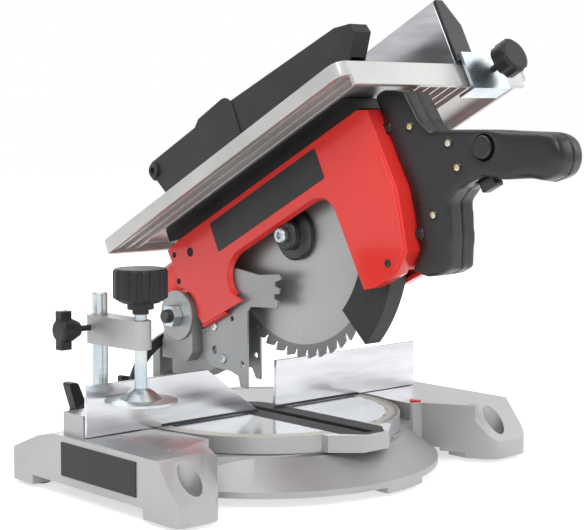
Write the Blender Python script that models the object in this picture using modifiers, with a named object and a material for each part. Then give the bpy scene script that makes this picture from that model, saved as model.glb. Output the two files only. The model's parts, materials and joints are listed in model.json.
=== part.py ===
import math
import bpy
import bmesh
from mathutils import Vector

# Combination mitre saw with an upper saw table, in metres, +Z up.
# The operator stands at -Y and faces +Y.
# The mitre is at 0, the blade is upright and the head is raised on its spring.

GAP = 0.0003            # clearance between pieces that seat on each other
FENCE_Y = 0.081         # world Y of the fence face
TOP_Z = 0.050           # world Z of the wing tops and the turntable top
FOOT_T = 0.003          # rubber foot under the casting
BASE_HALF = 0.194       # blade plane to the left side of the base
BASE_RIGHT = 0.203      # blade plane to the right side of the base
SKIRT_R = 0.150         # front skirt radius
FENCE_HALF = 0.187      # half the length of the fence
FENCE_H = 0.042         # fence height
FENCE_T = 0.003         # fence thickness
TT_R = 0.117            # turntable radius
TT_T = 0.014            # turntable rim depth
NOSE = 0.137            # turntable centre to the front of its nose
INSERT_HALF = 0.024     # half the width of the kerf insert
INSERT_T = 0.003        # kerf insert thickness
BLADE_R = 0.105         # saw blade radius
BLADE_T = 0.0024        # saw blade thickness
BORE_R = 0.008          # arbor radius at the blade
RAISE = math.radians(27)  # head angle above level at rest
PIVOT_Y = 0.0905        # head pivot behind the fence face
PIVOT_Z = 0.0762        # head pivot above the table tops
BLADE_Y = -0.155        # blade centre from the pivot, head level
BLADE_Z = 0.010         # blade centre above the pivot, head level
COVER_X = -0.022        # outer face of the red cover
WALL = 0.003            # cover and housing wall
HOUSE_X = 0.017         # right face of the blade housing
PLATE_T = 0.002         # guard plate thickness
PLATE_X = 0.0145        # left guard plate from the blade plane
EAR_T = 0.011           # tilt arm ear thickness
EAR_R = 0.020           # tilt arm ear radius
BARREL_HALF = 0.0132    # half the length of the head barrel
BOLT_R = 0.006          # head pivot bolt radius
TABLE_L = 0.070         # upper table, left edge from the blade plane
TABLE_R = 0.152         # upper table, right edge from the blade plane
TABLE_F = -0.325        # upper table front edge from the pivot
TABLE_B = 0.021         # upper table rear edge from the pivot
TABLE_TOP = 0.0825      # upper table top above the pivot, head level
TABLE_T = 0.004         # upper table plate thickness
RIP_X = 0.063           # rip fence face from the blade plane
RIP_W = 0.021           # rip fence width
RIP_H = 0.057           # rip fence height
POST_X = -0.158         # hold-down post
POST_Y = 0.022          # hold-down post behind the fence face
POST_R = 0.0063         # hold-down post radius
POST_TOP = 0.113        # hold-down post top above the wing
SCREW_Y = -0.0305       # hold-down screw, in front of the fence
SCREW_X = -0.156        # hold-down screw
SCREW_R = 0.005         # hold-down screw radius
FOOT_Z = 0.030          # underside of the hold-down foot above the wing

for old in list(bpy.data.objects):
    bpy.data.objects.remove(old, do_unlink=True)

scene = bpy.context.scene
parts = bpy.data.collections.new("MitreTableSaw")
cutters = bpy.data.collections.new("Cutters")
scene.collection.children.link(parts)
scene.collection.children.link(cutters)


def paint(name, colour, rough, metal=0.0):
    m = bpy.data.materials.new(name)
    m.use_nodes = True
    shader = m.node_tree.nodes["Principled BSDF"]
    shader.inputs["Base Color"].default_value = (*colour, 1)
    shader.inputs["Roughness"].default_value = rough
    shader.inputs["Metallic"].default_value = metal
    m.diffuse_color = (*colour, 1)
    return m


SILVER = ((0.60, 0.60, 0.58), 0.45, 0.3)
BRIGHT = ((0.78, 0.78, 0.80), 0.25, 0.9)
STEEL = ((0.62, 0.62, 0.63), 0.30, 1.0)
ZINC = ((0.70, 0.74, 0.78), 0.30, 1.0)
GREY = ((0.42, 0.43, 0.43), 0.55, 0.1)
DARK = ((0.08, 0.08, 0.085), 0.55, 0.0)
BLACK = ((0.025, 0.025, 0.028), 0.45, 0.0)
RED = ((0.75, 0.06, 0.05), 0.30, 0.0)
RUBBER = ((0.02, 0.02, 0.02), 0.85, 0.0)
SCALE = ((0.30, 0.30, 0.32), 0.50, 0.0)


def empty(name, at, parent=None, turn=(0, 0, 0)):
    e = bpy.data.objects.new(name, None)
    scene.collection.objects.link(e)
    e.parent = parent
    e.location = at
    e.rotation_euler = turn
    return e


def place(name, mesh, look, parent=None, at=(0, 0, 0), turn=(0, 0, 0), cutter=False):
    ob = bpy.data.objects.new(name, mesh)
    (cutters if cutter else parts).objects.link(ob)
    ob.parent = parent
    ob.location = at
    ob.rotation_euler = turn
    if cutter:
        ob.hide_render = True
        ob.display_type = "WIRE"
    else:
        mesh.materials.append(paint(name, *look))
    return ob


def finish_mesh(bm, name):
    bmesh.ops.remove_doubles(bm, verts=bm.verts, dist=1e-6)
    bmesh.ops.recalc_face_normals(bm, faces=bm.faces)
    mesh = bpy.data.meshes.new(name)
    bm.to_mesh(mesh)
    bm.free()
    return mesh


def axis_point(axis, u, v, w):
    # u, v lie in the outline plane and w runs along the axis
    if axis == "X":
        return (w, u, v)
    if axis == "Y":
        return (u, w, v)
    return (u, v, w)


def prism_mesh(name, outline, axis, lo, hi):
    bm = bmesh.new()
    a = [bm.verts.new(axis_point(axis, u, v, lo)) for u, v in outline]
    b = [bm.verts.new(axis_point(axis, u, v, hi)) for u, v in outline]
    bm.faces.new(a)
    bm.faces.new(b)
    n = len(outline)
    for i in range(n):
        j = (i + 1) % n
        bm.faces.new((a[i], a[j], b[j], b[i]))
    return finish_mesh(bm, name)


def prism(name, outline, axis, lo, hi, look=None, parent=None, cutter=False, at=(0, 0, 0)):
    mesh = prism_mesh(name, outline, axis, lo, hi)
    return place(name, mesh, look, parent, at, cutter=cutter)


def ring(radius, steps=48, centre=(0, 0), start=0.0, stop=2 * math.pi, closed=True):
    count = steps if closed else steps + 1
    out = []
    for i in range(count):
        t = start + (stop - start) * i / steps
        out.append((centre[0] + radius * math.cos(t), centre[1] + radius * math.sin(t)))
    return out


def rod(name, radius, axis, lo, hi, look=None, parent=None, centre=(0, 0), steps=32, cutter=False):
    return prism(name, ring(radius, steps, centre), axis, lo, hi, look, parent, cutter)


def box(name, lo, hi, look=None, parent=None, cutter=False):
    outline = [(lo[0], lo[1]), (hi[0], lo[1]), (hi[0], hi[1]), (lo[0], hi[1])]
    return prism(name, outline, "Z", lo[2], hi[2], look, parent, cutter)


def turned(name, profile, axis, look=None, parent=None, centre=(0, 0), steps=32, cutter=False):
    # profile holds (radius, along) pairs from one end of the axis to the other, and both ends are capped
    profile = [p for p in profile if p[0] > 0]
    bm = bmesh.new()
    rows = []
    for r, w in profile:
        rows.append([bm.verts.new(axis_point(axis, u, v, w)) for u, v in ring(r, steps, centre)])
    for a, b in zip(rows[:-1], rows[1:]):
        for i in range(steps):
            j = (i + 1) % steps
            bm.faces.new((a[i], a[j], b[j], b[i]))
    bm.faces.new(rows[0])
    bm.faces.new(rows[-1])
    return place(name, finish_mesh(bm, name), look, parent, cutter=cutter)


def tube_mesh_cut(name, target, radius, axis, lo, hi, centre=(0, 0), steps=32, parent=None):
    cut(target, rod(name, radius, axis, lo, hi, None, parent, centre, steps, cutter=True))


def use(target, tool, how):
    m = target.modifiers.new(how.title() + " " + tool.name, "BOOLEAN")
    m.operation = how
    m.solver = "EXACT"
    m.object = tool
    return m


def cut(target, tool):
    return use(target, tool, "DIFFERENCE")


def join(target, tool):
    return use(target, tool, "UNION")


def soften(ob, width, segments=2, angle=30):
    m = ob.modifiers.new("Bevel", "BEVEL")
    m.width = width
    m.segments = segments
    m.limit_method = "ANGLE"
    m.angle_limit = math.radians(angle)
    return m


def smooth(ob, angle=35):
    ob.data.shade_smooth()
    ob.data.set_sharp_from_angle(angle=math.radians(angle))
    return ob


def rounded(points, radius, steps=4):
    # outline with each corner replaced by a short arc
    out = []
    n = len(points)
    for i in range(n):
        p = Vector(points[i])
        a = Vector(points[i - 1]) - p
        b = Vector(points[(i + 1) % n]) - p
        reach = min(radius, 0.45 * a.length, 0.45 * b.length)
        start = p + a.normalized() * reach
        stop = p + b.normalized() * reach
        for k in range(steps + 1):
            t = k / steps
            q = start * (1 - t) ** 2 + p * 2 * t * (1 - t) + stop * t ** 2
            out.append((q.x, q.y))
    return out


saw = empty("saw_frame", (0, FENCE_Y, TOP_Z))
BOTTOM = FOOT_T - TOP_Z          # underside of the casting in the saw frame

# ---- base casting -------------------------------------------------------
WING_Y = 0.103           # rear end of the wings behind the fence face
FRONT_Y = -0.126         # front end of the corner feet
BOWL_R = TT_R + 0.004    # recess the turntable turns in
base = prism("base_casting", rounded([
    (-BASE_HALF, FRONT_Y), (-0.154, FRONT_Y), (-0.120, -0.060), (-0.070, -0.098),
    (0.0, -0.118), (0.070, -0.098), (0.120, -0.060), (0.158, FRONT_Y),
    (BASE_RIGHT, FRONT_Y), (BASE_RIGHT, WING_Y), (0.130, WING_Y), (0.105, 0.070),
    (-0.105, 0.070), (-0.130, WING_Y), (-BASE_HALF, WING_Y)], 0.010),
    "Z", BOTTOM, 0, SILVER, saw)
# sloping skirt round the front of the deck
skirt = turned("front_skirt", [(SKIRT_R, BOTTOM), (SKIRT_R, -0.0370), (0.1215, -TT_T - 0.0020)], "Z", None, saw,
    (0, 0), 96, True)
cut(skirt, box("cut_skirt_rear", (-0.200, -0.0200, -0.100), (0.200, 0.200, 0.050), None, saw, True))
join(base, skirt)
slope = 0.026
for side in (-1, 1):
    lo, hi = sorted((side * 0.149, side * (BASE_RIGHT + 0.010)))
    cut(base, prism(f"cut_front_slope_{side}", [(FRONT_Y - 0.010, -0.032 - 0.0123),
        (FRONT_Y + slope, 0.0), (FRONT_Y + slope, 0.010), (FRONT_Y - 0.010, 0.010)],
        "X", lo, hi, None, saw, cutter=True))
    cut(base, prism(f"cut_rear_slope_{side}", [(WING_Y + 0.010, -0.026), (0.060, -0.005),
        (0.036, 0.0), (0.036, 0.010), (WING_Y + 0.010, 0.010)],
        "X", *sorted((side * 0.100, side * (BASE_RIGHT + 0.010))), None, saw, cutter=True))
cut(base, prism("cut_bowl", ring(BOWL_R, 96), "Z", -TT_T - 0.0005, 0.010, None, saw, cutter=True))
cut(base, prism("cut_nose_way", [(-0.118, 0.0), (0.118, 0.0), (0.112, -0.135), (-0.112, -0.135)],
    "Z", -TT_T - 0.0005, 0.010, None, saw, cutter=True))
# space under the deck, open to the bench
cut(base, prism("cut_underside", ring(0.096, 64), "Z", BOTTOM - 0.010, -0.030, None, saw, cutter=True))
well = ring(0.112, 24, (0, 0), 1.5 * math.pi - 0.90, 1.5 * math.pi + 1.00, closed=False)
well += ring(0.010, 8, (0, 0), 1.5 * math.pi + 1.00, 1.5 * math.pi - 0.90, closed=False)
cut(base, prism("cut_blade_well", well, "Z", -0.024, 0.010, None, saw, cutter=True))
for side in (-1, 1):
    cut(base, box(f"cut_wing_hollow_{side}", (min(side * 0.138, side * 0.186), -0.080, BOTTOM - 0.010),
        (max(side * 0.138, side * 0.186), 0.050, -0.007), None, saw, cutter=True))
# arches between the feet
cut(base, box("cut_arch_side", (-0.300, -0.083, BOTTOM - 0.010), (0.300, 0.068, -0.039), None, saw, cutter=True))
cut(base, box("cut_arch_front_l", (-0.140, -0.200, BOTTOM - 0.010), (0.0, 0.200, -0.042), None, saw, cutter=True))
cut(base, box("cut_arch_front_r", (0.048, -0.200, BOTTOM - 0.010), (0.145, 0.200, -0.042), None, saw, cutter=True))
# sectors the rear bracket of the turntable swings in
for k, (near, far, half) in enumerate([(0.0975, 0.1345, 64), (0.130, 0.159, 57)]):
    mid = math.pi / 2
    swing = math.radians(half)
    way = ring(far, 24, (0, 0), mid - swing, mid + swing, closed=False)
    way += ring(near, 24, (0, 0), mid + swing, mid - swing, closed=False)
    cut(base, prism(f"cut_rear_swing_{k}", way, "Z", BOTTOM - 0.010, 0.010, None, saw, cutter=True))
tube_mesh_cut("cut_centre_hole", base, 0.0052, "Z", BOTTOM - 0.010, 0.010, parent=saw)
for sx in (-1, 1):
    cut(base, rod(f"cut_bench_hole_{sx}", 0.0042, "Z", BOTTOM - 0.01, 0.01, None, saw, (sx * 0.172, -0.112), 24, True))
    cut(base, rod(f"cut_bench_seat_{sx}", 0.0095, "Z", -0.030, 0.01, None, saw, (sx * 0.172, -0.112), 32, True))
for sx in (-1, 1):
    join(base, box(f"fence_block_{sx}", (min(sx * 0.130, sx * 0.188), 0.0035, -0.004),
        (max(sx * 0.130, sx * 0.188), 0.031, 0.018), None, saw, True))
tube_mesh_cut("cut_post_seat", base, POST_R + GAP, "Z", -0.002, 0.05, (POST_X, POST_Y), 32, saw)
cut(base, rod("cut_post_lock", 0.0033, "Y", POST_Y, 0.05, None, saw, (POST_X, 0.009), 20, True))

for sx in (-1, 1):
    for sy, py in (("front", -0.100), ("rear", 0.083)):
        side = "left" if sx < 0 else "right"
        foot = turned(f"rubber_foot_{sy}_{side}", [(0, BOTTOM - FOOT_T), (0.0075, BOTTOM - FOOT_T),
            (0.0085, BOTTOM - FOOT_T + 0.001), (0.0085, BOTTOM - GAP), (0, BOTTOM - GAP)],
            "Z", RUBBER, saw, (sx * 0.176, py), 24)

# ---- fence halves -------------------------------------------------------
LIFT = 0.0006
prism("fence_left", [(-FENCE_HALF, LIFT), (-0.008, LIFT), (-0.064, FENCE_H),
    (-FENCE_HALF, FENCE_H)], "Y", 0.0, FENCE_T, BRIGHT, saw)
prism("fence_right", [(0.011, LIFT), (FENCE_HALF, LIFT), (FENCE_HALF, FENCE_H),
    (0.013, FENCE_H)], "Y", 0.0, FENCE_T, BRIGHT, saw)
box("capacity_plate", (-BASE_HALF - 0.0008, -0.075, -0.032), (-BASE_HALF - 0.0001, 0.025, -0.005), DARK, saw)
prism("mitre_pointer", [(0.1195, -0.059), (0.1275, -0.0655), (0.1275, -0.0525)], "Z", GAP, 0.0016, RED, saw)
cut(base, box("cut_pointer_gap", (0.10, -0.060, 0.0), (0.119, -0.058, 0.004), None, saw, True))

# ---- turntable ----------------------------------------------------------
mitre = empty("mitre_axis", (0, 0, 0), saw)
table_outline = ring(TT_R, 80, (0, 0), -math.pi / 2 + 0.32, 1.5 * math.pi - 0.32, closed=False)
table_outline += [(-0.036, -0.118), (-0.014, -NOSE), (0.014, -NOSE), (0.036, -0.118)]
turntable = prism("turntable", table_outline, "Z", -TT_T, 0, BRIGHT, mitre)
insert_outline = [(-INSERT_HALF, -0.118), (-0.010, -NOSE + 0.002), (0.010, -NOSE + 0.002), (INSERT_HALF, -0.118)]
insert_outline += ring(INSERT_HALF, 16, (0, 0.020), 0, math.pi, closed=False)
pocket = insert_outline[:4] + ring(INSERT_HALF, 16, (0, 0.020), 0, math.pi, closed=False)
grown = [(u * 1.0125, v * 1.0022 + (0.0002 if v > 0 else -0.0002)) for u, v in pocket]
cut(turntable, prism("cut_insert_seat", grown, "Z", -INSERT_T - GAP, 0.01, None, mitre, cutter=True))
cut(turntable, box("cut_kerf_channel", (-0.004, -0.1260, -0.030), (0.017, -0.0090, 0.010), None, mitre, True))
tube_mesh_cut("cut_bolt_head_seat", turntable, 0.0087, "Z", -0.0085, 0.010, (0, 0), 32, mitre)
# rear bracket that carries the tilt axis, below the deck and behind the bowl
bracket = box("bracket_bar", (-0.030, 0.100, -0.034), (0.030, 0.128, -TT_T + 0.004), None, mitre, True)
join(turntable, bracket)
join(turntable, box("bracket_web", (-0.024, 0.100, -TT_T), (0.024, 0.1135, 0.0), None, mitre, True))
join(turntable, rod("tilt_boss", 0.0195, "Y", 0.100, 0.128, None, mitre, (0, 0), 48, True))
tube_mesh_cut("cut_tilt_bore", turntable, 0.0052, "Y", 0.08, 0.15, (0, 0), 24, mitre)
tube_mesh_cut("cut_turntable_hole", turntable, 0.0052, "Z", -0.02, 0.004, (0, 0), 24, mitre)
insert = prism("kerf_insert", insert_outline, "Z", -INSERT_T, -0.0001, DARK, mitre)
cut(insert, box("cut_kerf_slot", (-0.0028, -0.128, -0.01), (0.0062, 0.036, 0.01), None, mitre, True))
turned("turntable_pivot_bolt", [(0, -0.035), (0.0049, -0.035), (0.0049, -0.0082), (0.0080, -0.0082),
    (0.0080, -0.0038), (0, -0.0038)], "Z", STEEL, mitre, (0, 0), 24)

# ---- tilt arm, turning about the Y axis at table level ------------------
bevel = empty("bevel_axis", (0, 0, 0), mitre)
ARM_Y0 = 0.0705
EAR_IN = BARREL_HALF + GAP
EAR_OUT = EAR_IN + EAR_T
arm = prism("tilt_arm", [(0.046, 0.034), (0.078, 0.020), (0.1140, 0.020), (0.1140, 0.050),
    (0.0990, 0.0560), (0.0720, 0.0560), (0.046, 0.070)], "X", -0.0132, 0.0097, GREY, bevel)
for sx in (-1, 1):
    ear = ring(EAR_R, 40, (PIVOT_Y, PIVOT_Z), -0.10, math.pi + 0.10, closed=False)
    ear += [(ARM_Y0, 0.045), (0.0780, 0.036), (0.1140, 0.036)]
    join(arm, prism(f"arm_ear_{sx}", ear, "X", min(sx * EAR_IN, sx * EAR_OUT), max(sx * EAR_IN, sx * EAR_OUT),
        None, bevel, cutter=True))
    lo, hi = sorted((sx * 0.008, sx * EAR_OUT))
    join(arm, box(f"arm_shoulder_{sx}", (lo, 0.0780, 0.0362), (hi, 0.1138, 0.0530), None, bevel, True))
cut(arm, rod("cut_barrel_room", 0.0190, "X", -BARREL_HALF - GAP, BARREL_HALF + GAP, None, bevel,
    (PIVOT_Y, PIVOT_Z), 40, True))
# foot of the arm: a disc seated behind the turntable boss
join(arm, box("arm_neck", (-0.016, 0.1290 + GAP, 0.0), (0.016, 0.1400, 0.045), None, bevel, True))
join(arm, box("arm_back", (-0.0120, 0.1000, 0.0362), (0.0120, 0.1400, 0.0480), None, bevel, True))
join(arm, rod("arm_disc", 0.0200, "Y", 0.1280 + GAP, 0.1400, None, bevel, (0, 0), 48, True))
tube_mesh_cut("cut_arm_bore", arm, 0.0052, "Y", 0.120, 0.150, (0, 0), 24, bevel)
tube_mesh_cut("cut_ear_bore", arm, BOLT_R + 0.0002, "X", -0.05, 0.05, (PIVOT_Y, PIVOT_Z), 32, bevel)
turned("tilt_pivot_bolt", [(0, 0.0950 + 0.006), (0.0049, 0.0950 + 0.006), (0.0049, 0.1400 + GAP), (0.0085, 0.1400 + GAP),
    (0.0085, 0.1460), (0, 0.1460)], "Y", STEEL, mitre, (0, 0), 24)

# bevel quadrant fixed to the turntable bracket, left of the arm
QUAD_Y = 0.1175
quad = ring(0.060, 24, (0, 0), math.radians(96), math.radians(172), closed=False)
quad += ring(0.018, 4, (0, 0), math.radians(172), math.radians(163), closed=False)
quad += ring(0.0502, 20, (0, 0), math.radians(160), math.radians(96), closed=False)
quadrant = prism("bevel_quadrant", quad, "Y", QUAD_Y, QUAD_Y + 0.004, DARK, mitre)
cut(quadrant, rod("cut_quadrant_boss", 0.0199, "Y", 0.10, 0.13, None, mitre, (0, 0), 40, True))
cut(quadrant, box("cut_quadrant_web", (-0.0303, 0.10, -0.040), (0.030, 0.13, -0.0097), None, mitre, True))
lever = rod("bevel_lock_lever", 0.0105, "Y", 0.1463, 0.1560, BLACK, mitre, (0, 0), 32)
blade_arm = prism("lever_arm", rounded([(0.0, -0.005), (-0.046, 0.005), (-0.046, 0.017), (0.0, 0.006)], 0.004),
    "Y", 0.1480, 0.1545, None, mitre, cutter=True)
join(lever, blade_arm)

# guard plates screwed to both sides of the arm
outline = [(0.0055, 0.0190), (0.0150, 0.0200), (0.0180, 0.0290), (0.0290, 0.0320), (0.0550, 0.0330),
    (0.0660, 0.0420), (0.0670, 0.0620), (0.0560, 0.0760), (0.0400, 0.1180), (0.0200, 0.1230),
    (-0.0100, 0.1195), (-0.0360, 0.1220), (-0.0385, 0.1180), (-0.0340, 0.1160), (-0.0300, 0.1150),
    (-0.0300, 0.1115), (-0.0360, 0.1100), (-0.0350, 0.1050), (-0.0290, 0.1045), (-0.0290, 0.1010),
    (-0.0340, 0.0990), (-0.0330, 0.0930), (0.0010, 0.0910), (0.0055, 0.0860)]
keyhole = [(0.0500, 0.0485, 0.0036), (0.0262, 0.0785, 0.0024)]
right_outline = [(0.0180, 0.0230), (0.0240, 0.0235)] + outline[3:10] + [(-0.0080, 0.1195), (-0.0080, 0.0915), (0.0010, 0.0910),
    (0.0180, 0.0860)]
for side, x, shape in (("left", -PLATE_X, outline), ("right", 0.0110, right_outline)):
    ob = prism(f"guard_plate_{side}", shape, "X", x - PLATE_T / 2, x + PLATE_T / 2, GREY, bevel)
    for k, (y, z, r) in enumerate(keyhole):
        tube_mesh_cut(f"cut_keyhole_{side}_{k}", ob, r, "X", x - 0.005, x + 0.005, (y, z), 20, bevel)
    at = (0.0125, 0.0400) if side == "left" else (0.0240, 0.0440)
    tube_mesh_cut(f"cut_low_hole_{side}", ob, 0.0026, "X", x - 0.005, x + 0.005, at, 20, bevel)

# ---- head, drawn level about its pivot and raised by the parent empty ---
head = empty("head_pivot", (0, PIVOT_Y, PIVOT_Z), bevel, (-RAISE, 0, 0))
turned("head_pivot_bolt", [(0, 0.0320), (0.0100, 0.0320), (0.0100, EAR_OUT + GAP), (BOLT_R, EAR_OUT + GAP),
    (BOLT_R, -0.0400), (0.0052, -0.0410), (0, -0.0410)], "X", DARK, bevel, (PIVOT_Y, PIVOT_Z), 32)
washer = rod("pivot_washer", 0.0224, "X", -EAR_OUT - 0.0025, -EAR_OUT - GAP, GREY, bevel, (PIVOT_Y, PIVOT_Z), 48)
tube_mesh_cut("cut_washer", washer, BOLT_R + 0.0001, "X", -0.05, 0.0, (PIVOT_Y, PIVOT_Z), 32, bevel)
nut = rod("pivot_nut", 0.0105, "X", -EAR_OUT - 0.0115, -EAR_OUT - 0.0025 - GAP, ZINC, bevel, (PIVOT_Y, PIVOT_Z), 6)
tube_mesh_cut("cut_nut", nut, BOLT_R + 0.0001, "X", -0.06, 0.0, (PIVOT_Y, PIVOT_Z), 32, bevel)

# outline of the head seen from the left: the cover and the housing share it
ARC = 0.0246
rear_arc = ring(ARC, 10, (0, 0), math.radians(102), math.radians(204), closed=False)
shell = [(-0.0280, 0.0610), (-0.0090, 0.0590), (-0.0110, 0.0380)] + rear_arc[1:]
shell += [(-0.0260, -0.0195), (-0.0850, -0.0205)]
window = [(-0.0850, -0.0205), (-0.0740, -0.0080), (-0.0760, 0.0060), (-0.0840, 0.0150), (-0.0970, 0.0200),
    (-0.2080, 0.0200), (-0.2200, 0.0150), (-0.2260, 0.0040), (-0.2270, -0.0290), (-0.2280, -0.0690)]
front = [(-0.2410, -0.0720), (-0.2670, -0.0720), (-0.2850, -0.0610), (-0.2920, -0.0350), (-0.2970, -0.0130),
    (-0.2960, 0.0110), (-0.2950, 0.0560), (-0.2840, 0.0610)]
full = shell + window[1:] + front


def head_shell(name, look, side_outline, outer, face, seam):
    # a flat face with a wall along the top, the front and the lower front edge
    ob = prism(name, side_outline, "X", outer, seam, look, head)
    deep = [(-0.0281 + 0.03, 0.0580), (-0.2830, 0.0580), (-0.2920, 0.0540), (-0.2930, 0.0110), (-0.2940, -0.0130),
        (-0.2890, -0.0345), (-0.2825, -0.0595), (-0.2660, -0.0690), (-0.2410, -0.0690), (-0.2250, -0.0660),
        (-0.2050, -0.1200), (0.0600, -0.1200), (0.0600, 0.0580)]
    cut(ob, prism("cut_" + name + "_room", deep, "X", face, seam + math.copysign(0.010, seam - face),
        None, head, cutter=True))
    return ob


cover = head_shell("red_cover", RED, full, COVER_X, COVER_X + WALL, -GAP)
housing = head_shell("blade_housing", RED, shell + [(-0.150, -0.040), (-0.228, -0.069)] + front, HOUSE_X, HOUSE_X - WALL, 0.0)
for shell_part in (cover, housing):
    cut(shell_part, box("cut_guard_way_" + shell_part.name, (-0.0108, -0.2700, -0.100), (0.0088, -0.180, -0.060),
        None, head, True))
HUB = (BLADE_Y, BLADE_Z)
COLLAR_R = 0.0247
join(housing, rod("head_barrel", 0.0150, "X", -BARREL_HALF, BARREL_HALF, None, head, (0, 0), 40, True))
join(housing, box("barrel_web", (-0.0130, -0.0275, 0.0060), (0.0130, -0.0080, 0.0576), None, head, True))
join(housing, box("barrel_rib", (0.0100, -0.0275, 0.0280), (HOUSE_X - 0.001, -0.0100, 0.0578), None, head, True))
join(housing, rod("spindle_collar", COLLAR_R, "X", 0.0052, HOUSE_X - 0.001, None, head, HUB, 48, True))
tube_mesh_cut("cut_barrel_bore", housing, BOLT_R + 0.0002, "X", -0.05, 0.05, (0, 0), 32, head)
tube_mesh_cut("cut_bearing_seat", housing, 0.0130 + 0.0001, "X", -0.01, 0.05, HUB, 40, head)
cut(housing, box("cut_knife_slot", (-0.0014, -0.0400, 0.0290), (0.0014, -0.0165, 0.0700), None, head, True))
cut(cover, box("cut_knife_slot_cover", (-0.0014, -0.0400, 0.0290), (0.0014, -0.0165, 0.0700), None, head, True))

# knife behind the blade, carrying the upper hood
arc = ring(BLADE_R + 0.0040, 14, HUB, math.radians(13), math.radians(47), closed=False)
knife = prism("riving_knife", [(-0.0170, 0.0300)] + [(-0.0440, 0.0300)] + arc + [(-0.0720, 0.1120),
    (-0.0200, 0.1470), (-0.0070, 0.1430), (-0.0060, 0.1300), (-0.0170, 0.0900), (-0.0170, 0.0550)],
    "X", -0.0011, 0.0011, STEEL, head)
HOOD = (-0.0130, 0.1370)
tube_mesh_cut("cut_knife_pin", knife, 0.0031, "X", -0.02, 0.02, HOOD, 20, head)
for cutter_for in (cover, housing):
    cut(cutter_for, box("cut_top_slot_" + cutter_for.name, (-0.0120, -0.2750, 0.050), (0.0100, -0.0282, 0.070),
        None, head, True))

# black box between the cover and the table
BAND_LO = 0.0610 + GAP
BAND_HI = TABLE_TOP - TABLE_T - GAP
band = prism("table_carrier", [(-0.2860, BAND_LO), (-0.0290, BAND_LO), (-0.0120, BAND_LO + 0.004),
    (-0.0120, BAND_HI), (-0.2700, BAND_HI), (-0.2800, 0.0740)], "X", -0.0195, HOUSE_X, BLACK, head)
cut(band, box("cut_band_room", (-0.0120, -0.2740, 0.040), (0.0100, -0.0160, 0.100), None, head, True))

# ---- blade group --------------------------------------------------------
blade = rod("saw_blade", BLADE_R, "X", -BLADE_T / 2, BLADE_T / 2, STEEL, head, HUB, 120)
tube_mesh_cut("cut_blade_bore", blade, BORE_R, "X", -0.01, 0.01, HUB, 32, head)
inner = rod("inner_flange", 0.0220, "X", BLADE_T / 2 + GAP, 0.0048, DARK, head, HUB, 48)
tube_mesh_cut("cut_inner_flange", inner, BORE_R, "X", -0.01, 0.01, HUB, 32, head)
outer = turned("outer_flange", [(0, -0.0165), (0.0110, -0.0165), (0.0130, -0.0150), (0.0130, -0.0075),
    (0.0200, -0.0070), (0.0220, -0.0055), (0.0220, -BLADE_T / 2 - GAP), (0, -BLADE_T / 2 - GAP)],
    "X", DARK, head, HUB, 48)
tube_mesh_cut("cut_outer_flange", outer, 0.0048, "X", -0.02, 0.01, HUB, 32, head)
spindle = turned("spindle", [(0, -BLADE_T / 2), (BORE_R - GAP, -BLADE_T / 2), (BORE_R - GAP, 0.0375), (0, 0.0375)],
    "X", STEEL, head, HUB, 32)
tube_mesh_cut("cut_spindle_thread", spindle, 0.0042, "X", -0.02, 0.010, HUB, 24, head)
screw = turned("arbor_screw", [(0, -0.0225), (0.0056, -0.0225), (0.0066, -0.0210), (0.0066, -0.0165 - GAP),
    (0.0040, -0.0165 - GAP), (0.0040, 0.0080), (0, 0.0080)], "X", ZINC, head, HUB, 32)
tube_mesh_cut("cut_screw_hex", screw, 0.0030, "X", -0.030, -0.0195, HUB, 6, head)
bearing = rod("spindle_bearing", 0.0130, "X", 0.0060, 0.0160, STEEL, head, HUB, 40)
tube_mesh_cut("cut_bearing", bearing, BORE_R, "X", -0.01, 0.03, HUB, 32, head)

MOTOR = (BLADE_Y + 0.0305, BLADE_Z + 0.0157)
REACH = math.hypot(0.0305, 0.0157)
PINION_R = 0.0080
GEAR_R = REACH - PINION_R - GAP
gear = rod("spindle_gear", GEAR_R, "X", 0.0240, 0.0340, STEEL, head, HUB, 64)
tube_mesh_cut("cut_gear", gear, BORE_R, "X", 0.01, 0.05, HUB, 32, head)
pinion = rod("motor_shaft", PINION_R, "X", 0.0235, 0.0345, STEEL, head, MOTOR, 32)
join(pinion, rod("motor_shaft_core", 0.0050, "X", 0.0210, 0.1200, None, head, MOTOR, 24, True))
rotor = rod("motor_rotor", 0.0220, "X", 0.0560, 0.1060, SCALE, head, MOTOR, 40)
tube_mesh_cut("cut_rotor", rotor, 0.0050 + 0.0001, "X", 0.04, 0.12, MOTOR, 24, head)
case = rod("gear_case", 0.0430, "X", HOUSE_X + GAP, 0.0420, SILVER, head, MOTOR, 64)
join(case, rod("case_nose", 0.0330, "X", HOUSE_X + GAP, 0.0420, None, head, HUB, 48, True))
cut(case, rod("cut_case_room", GEAR_R + 0.0020, "X", 0.0205, 0.0380, None, head, HUB, 48, True))
cut(case, rod("cut_case_pinion", 0.0240, "X", 0.0205, 0.0500, None, head, MOTOR, 40, True))
tube_mesh_cut("cut_case_spindle", case, 0.0090, "X", 0.0, 0.0300, HUB, 32, head)
motor = turned("motor_housing", [(0, 0.0420 + GAP), (0.0430, 0.0420 + GAP), (0.0430, 0.1180), (0, 0.1180)],
    "X", BLACK, head, MOTOR, 64)
cut(motor, rod("cut_motor_room", 0.0395, "X", 0.0470, 0.130, None, head, MOTOR, 48, True))
tube_mesh_cut("cut_motor_neck", motor, 0.0060, "X", 0.03, 0.06, MOTOR, 24, head)
stator = rod("motor_stator", 0.0395 - GAP, "X", 0.0580, 0.1040, STEEL, head, MOTOR, 48)
tube_mesh_cut("cut_stator", stator, 0.0225, "X", 0.04, 0.12, MOTOR, 40, head)
cap = turned("motor_end_cap", [(0, 0.1180 + GAP), (0.0430, 0.1180 + GAP), (0.0430, 0.1300), (0.0380, 0.1360),
    (0, 0.1360)], "X", BLACK, head, MOTOR, 64)
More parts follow.
